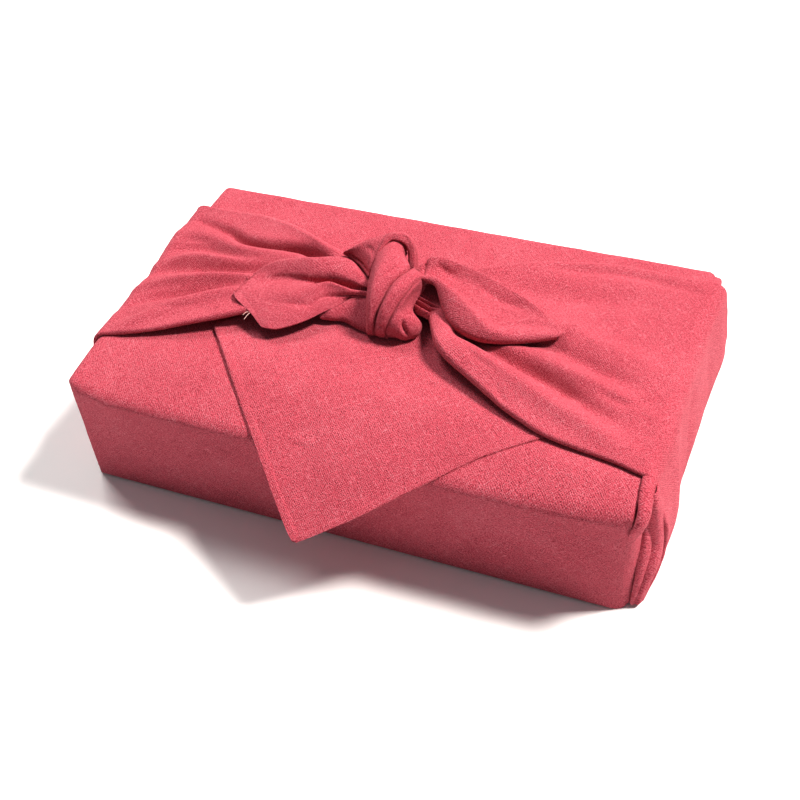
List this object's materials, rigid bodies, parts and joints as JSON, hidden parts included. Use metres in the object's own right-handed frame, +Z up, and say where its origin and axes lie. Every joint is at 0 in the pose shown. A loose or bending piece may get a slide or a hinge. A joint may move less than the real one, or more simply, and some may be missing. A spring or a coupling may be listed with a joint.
{
  "type": "furoshiki wrap",
  "caption": "Square cotton cloth tied round a low oblong parcel, with gathered wings, a knot on top with free ends, and a corner flap standing out over the front edge.",
  "frame": {"origin": "the middle of the wrapped parcel's flat bottom", "axes": "+X to the right along the parcel, +Y to the back, +Z up; the flap stands out past the front, towards -Y"},
  "size_m": [0.2836, 0.2024, 0.0914],
  "materials": {
    "cloth": "matt slub cotton, coral red"
  },
  "bodies": {
    "root": {"furoshiki_cloth": "cloth"}
  },
  "joints": []
}
